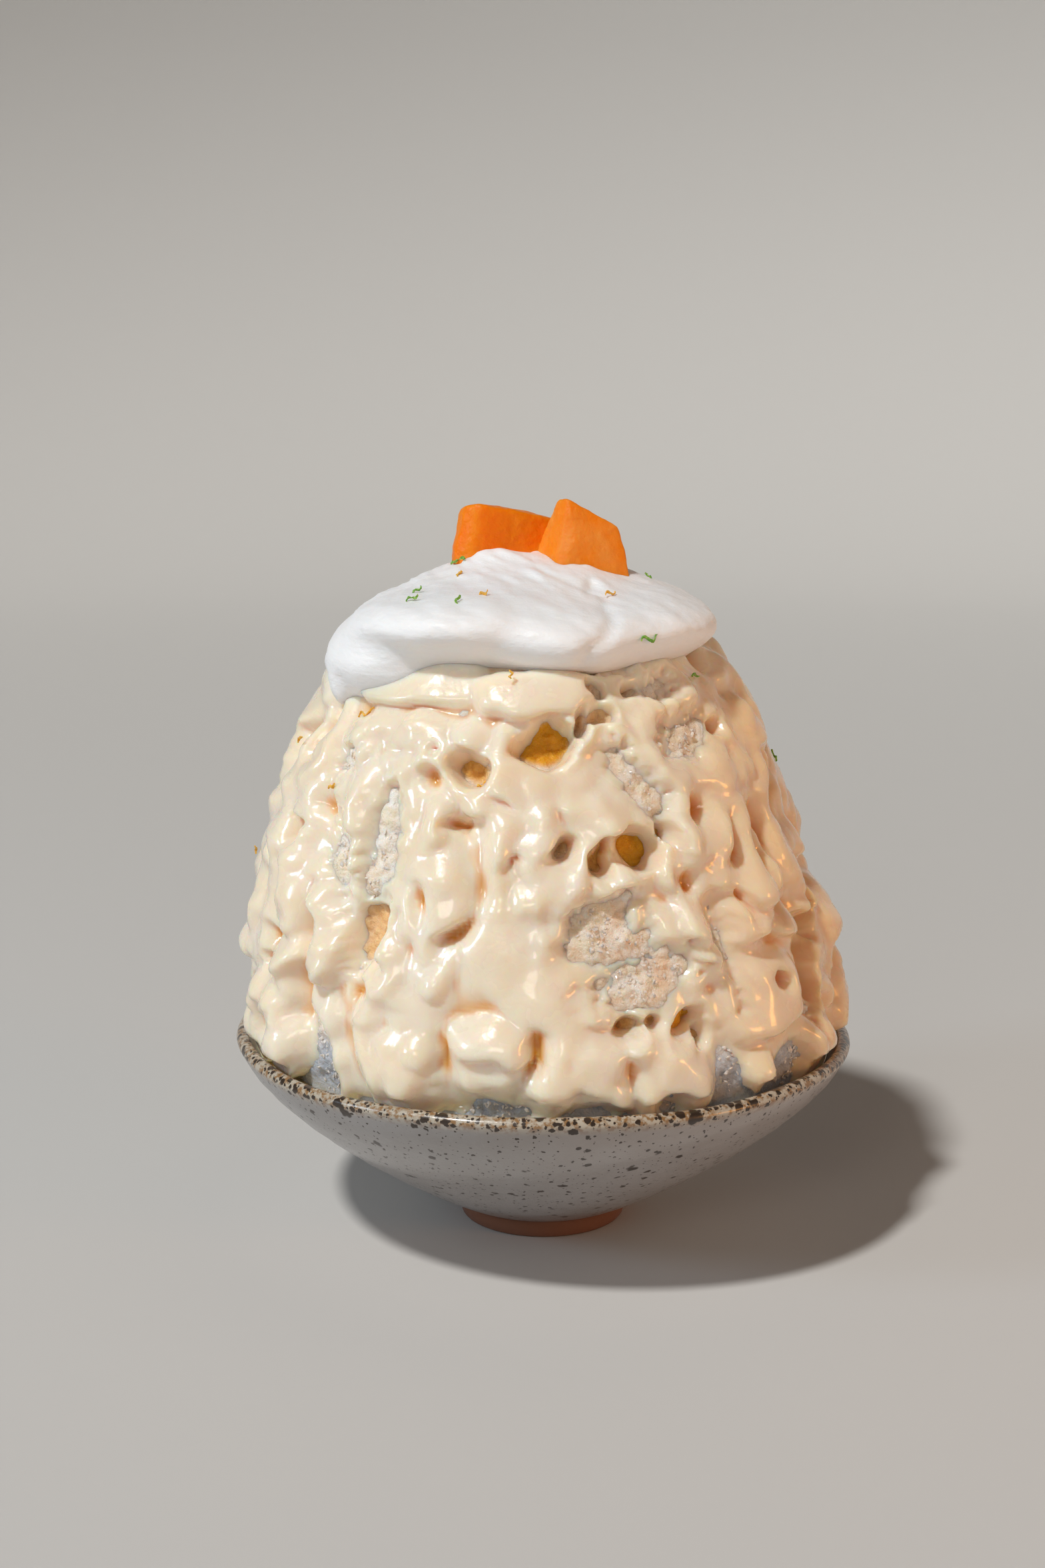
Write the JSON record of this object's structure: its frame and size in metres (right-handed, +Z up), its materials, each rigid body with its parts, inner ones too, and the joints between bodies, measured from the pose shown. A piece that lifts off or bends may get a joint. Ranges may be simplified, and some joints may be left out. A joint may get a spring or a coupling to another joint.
{
  "type": "shaved ice dessert",
  "caption": "Tall heap of shaved ice in a footed stoneware bowl, covered in poured milk cream, capped with whipped cream, orange fruit chunks and citrus zest.",
  "frame": {"origin": "middle of the bowl's foot, on the surface that it stands on", "axes": "+Z up, -Y towards the diner, +X to the diner's right"},
  "size_m": [0.15, 0.15, 0.1771],
  "materials": {
    "speckled_stoneware": "satin",
    "ice": "satin",
    "milk_cream": "gloss",
    "whipped_cream": "satin",
    "orange_fruit": "satin"
  },
  "bodies": {
    "root": {"bowl": "speckled_stoneware", "shaved_ice": "ice", "milk_cream": "milk_cream", "whipped_cream": "whipped_cream", "fruit_chunk_left": "orange_fruit", "fruit_chunk_right": "orange_fruit"}
  },
  "joints": []
}
